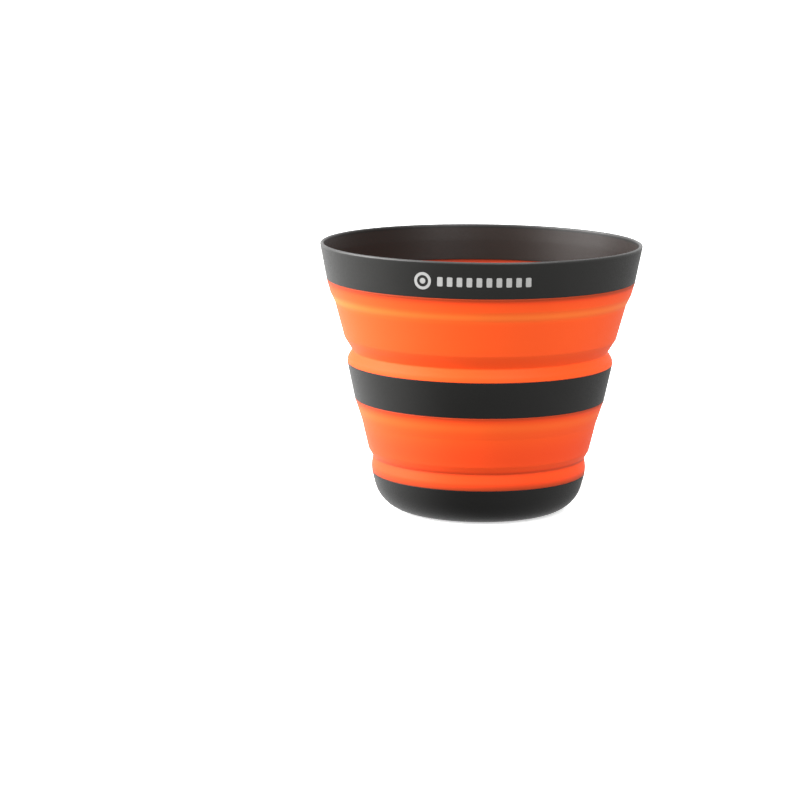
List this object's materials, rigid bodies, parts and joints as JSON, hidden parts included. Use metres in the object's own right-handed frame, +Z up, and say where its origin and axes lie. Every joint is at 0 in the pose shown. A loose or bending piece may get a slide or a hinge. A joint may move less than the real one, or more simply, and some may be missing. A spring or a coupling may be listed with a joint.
{
  "type": "collapsible travel cup",
  "caption": "Collapsible travel cup: rigid plastic rings joined by soft silicone walls that fold up, so the open tapered cup telescopes down to a low nested disc.",
  "frame": {"origin": "centre of the underside of the foot, with the cup open", "axes": "+Z up along the cup's axis, towards the drinking lip; +X and +Y are any two directions across the round cup"},
  "size_m": [0.102, 0.102, 0.0853],
  "materials": {
    "charcoal_plastic": "charcoal polypropylene with a fine matte grain, slightly smoother on the lip",
    "orange_silicone": "orange moulded silicone, matte and soft to the touch, a little paler where it faces away"
  },
  "bodies": {
    "base": {"base": "charcoal_plastic", "lower_wall_shoulder": "orange_silicone"},
    "lower_panel": {"lower_wall_panel": "orange_silicone"},
    "middle": {"mid_ring": "charcoal_plastic", "lower_wall_hem": "orange_silicone", "upper_wall_shoulder": "orange_silicone"},
    "upper_panel": {"upper_wall_panel": "orange_silicone"},
    "rim": {"rim_ring": "charcoal_plastic", "upper_wall_skirt": "orange_silicone"}
  },
  "joints": [
    {"name": "lower_fold", "type": "slide", "parent": "base", "child": "middle", "axis": [0, 0, -1], "range_m": [0, 0.0343], "deforming": ["lower_wall_panel"]},
    {"name": "upper_fold", "type": "slide", "parent": "middle", "child": "rim", "axis": [0, 0, -1], "range_m": [0, 0.0339], "deforming": ["upper_wall_panel"]},
    {"name": "lower_panel_follow", "type": "slide", "parent": "base", "child": "lower_panel", "axis": [0, 0, -1], "range_m": [0, 0.0165]},
    {"name": "upper_panel_follow", "type": "slide", "parent": "middle", "child": "upper_panel", "axis": [0, 0, -1], "range_m": [0, 0.0165]}
  ],
  "couplings": [
    {"joint": "lower_panel_follow", "follows": "lower_fold", "ratio": 0.478},
    {"joint": "upper_panel_follow", "follows": "upper_fold", "ratio": 0.485}
  ]
}
